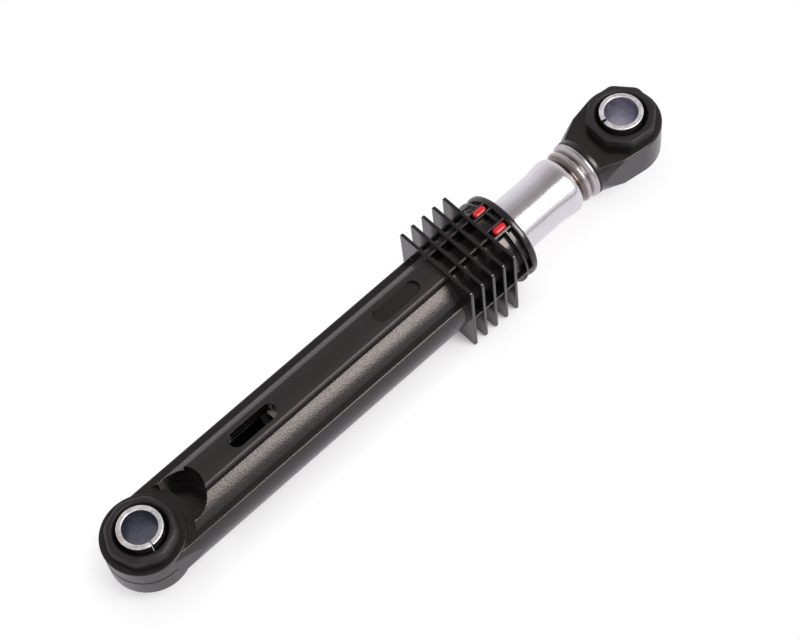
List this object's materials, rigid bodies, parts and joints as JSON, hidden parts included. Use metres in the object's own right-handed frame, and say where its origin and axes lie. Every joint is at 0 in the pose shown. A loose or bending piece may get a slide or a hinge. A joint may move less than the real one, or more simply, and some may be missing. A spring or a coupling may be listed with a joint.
{
  "type": "washing machine shock absorber",
  "caption": "Friction damper for a washing machine drum: finned, railed plastic cylinder, sliding steel tube rod and a rubber-bushed bolt eye at each end.",
  "frame": {"origin": "centre of the lower eye's bolt bore", "axes": "+X along the damper to the upper eye, +Z along both bolt bores, up"},
  "size_m": [0.2282, 0.0316, 0.0316],
  "materials": {
    "housing_plastic": "black glass-filled moulding with a fine grain",
    "clip_plastic": "red smooth moulding",
    "lining_foam": "greased dark foam",
    "rod_steel": "bright polished steel tube",
    "bush_rubber": "matt black rubber",
    "sleeve_steel": "zinc-plated rolled steel"
  },
  "bodies": {
    "housing": {"cylinder_housing": "housing_plastic", "guide_clip": "clip_plastic", "lower_bush": "bush_rubber"},
    "linings": {"friction_lining_lower": "lining_foam", "friction_lining_upper": "lining_foam"},
    "rod": {"piston_rod": "rod_steel", "rod_end": "housing_plastic", "upper_bush": "bush_rubber"},
    "lower_eye_sleeve": {"lower_sleeve": "sleeve_steel"},
    "upper_eye_sleeve": {"upper_sleeve": "sleeve_steel"}
  },
  "joints": [
    {"name": "rod_swivel", "type": "hinge", "parent": "housing", "child": "linings", "pos_m": [0.13, 0, 0], "axis": [1, 0, 0], "continuous": true},
    {"name": "rod_slide", "type": "slide", "parent": "linings", "child": "rod", "axis": [1, 0, 0], "range_m": [-0.016, 0.058]},
    {"name": "lower_sleeve_twist", "type": "hinge", "parent": "housing", "child": "lower_eye_sleeve", "pos_m": [0, 0, 0], "axis": [0, 0, 1], "range_deg": [-15, 15], "stiffness_Nm_per_rad": 0.05},
    {"name": "upper_sleeve_twist", "type": "hinge", "parent": "rod", "child": "upper_eye_sleeve", "pos_m": [0.202, 0, 0], "axis": [0, 0, 1], "range_deg": [-15, 15], "stiffness_Nm_per_rad": 0.05}
  ]
}
